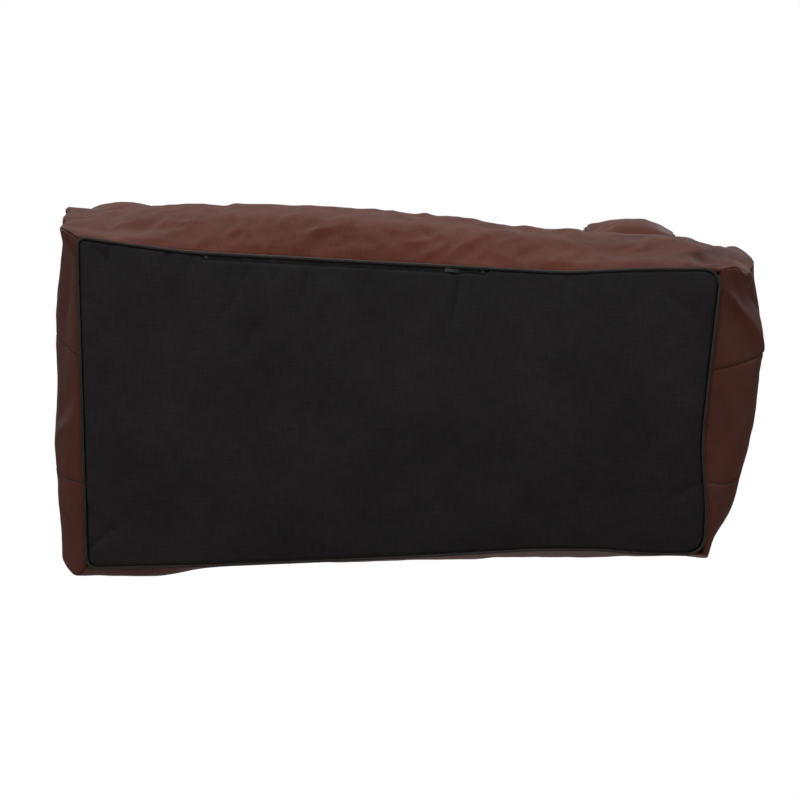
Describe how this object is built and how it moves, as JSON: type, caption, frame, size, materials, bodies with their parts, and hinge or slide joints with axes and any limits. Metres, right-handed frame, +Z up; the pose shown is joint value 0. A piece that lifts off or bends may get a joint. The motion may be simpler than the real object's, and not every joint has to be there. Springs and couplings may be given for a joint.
{
  "type": "bean bag chair",
  "caption": "Wide two-armed bean bag chair with a piped, zip-closed woven base panel, sewn fabric cover and liners full of loose beads.",
  "frame": {"origin": "the middle of the base, on the floor", "axes": "+Z up; the sitter faces -Y; X runs across the seat, with +X on the sitter's left"},
  "size_m": [1.52, 0.74, 0.65],
  "materials": {
    "cover_fabric": "matte",
    "base_fabric": "matte",
    "piping_fabric": "satin",
    "piping_core": "matte",
    "liner_fabric": "matte",
    "bead_fill": "matte",
    "zip_tape": "matte",
    "zip_coil": "satin",
    "zip_metal": "satin"
  },
  "bodies": {
    "chair": {"base_panel": "base_fabric", "base_piping_cord": "piping_core", "base_piping_sleeve": "piping_fabric", "zip_tape_base_side": "zip_tape", "zip_tape_piping_side": "zip_tape", "zip_coil_base_side": "zip_coil", "zip_coil_piping_side": "zip_coil", "zip_start_stop": "zip_metal", "zip_end_stop": "zip_metal", "seat_front_panel": "cover_fabric", "seat_rear_panel": "cover_fabric", "seat_top_panel": "cover_fabric", "back_front_panel": "cover_fabric", "back_rear_panel": "cover_fabric", "back_boxing_strip": "cover_fabric", "left_arm_front_panel": "cover_fabric", "left_arm_wrap": "cover_fabric", "right_arm_front_panel": "cover_fabric", "right_arm_wrap": "cover_fabric", "left_side_front_strip": "cover_fabric", "left_side_middle_strip": "cover_fabric", "left_side_rear_strip": "cover_fabric", "right_side_front_strip": "cover_fabric", "right_side_middle_strip": "cover_fabric", "right_side_rear_strip": "cover_fabric", "seat_liner": "liner_fabric", "back_liner": "liner_fabric", "left_arm_liner": "liner_fabric", "right_arm_liner": "liner_fabric", "seat_bead_fill": "bead_fill", "back_bead_fill": "bead_fill", "left_arm_bead_fill": "bead_fill", "right_arm_bead_fill": "bead_fill"},
    "zip_slider": {"zip_slider": "zip_metal"},
    "zip_pull": {"zip_pull": "zip_metal"}
  },
  "joints": [
    {"name": "zip_slide", "type": "slide", "parent": "chair", "child": "zip_slider", "axis": [1, 0, 0], "range_m": [-0.48, 0.064]},
    {"name": "zip_pull_flip", "type": "hinge", "parent": "zip_slider", "child": "zip_pull", "pos_m": [0.087, -0.312, 0.0022], "axis": [0, 1, 0], "range_deg": [0, 165]}
  ]
}
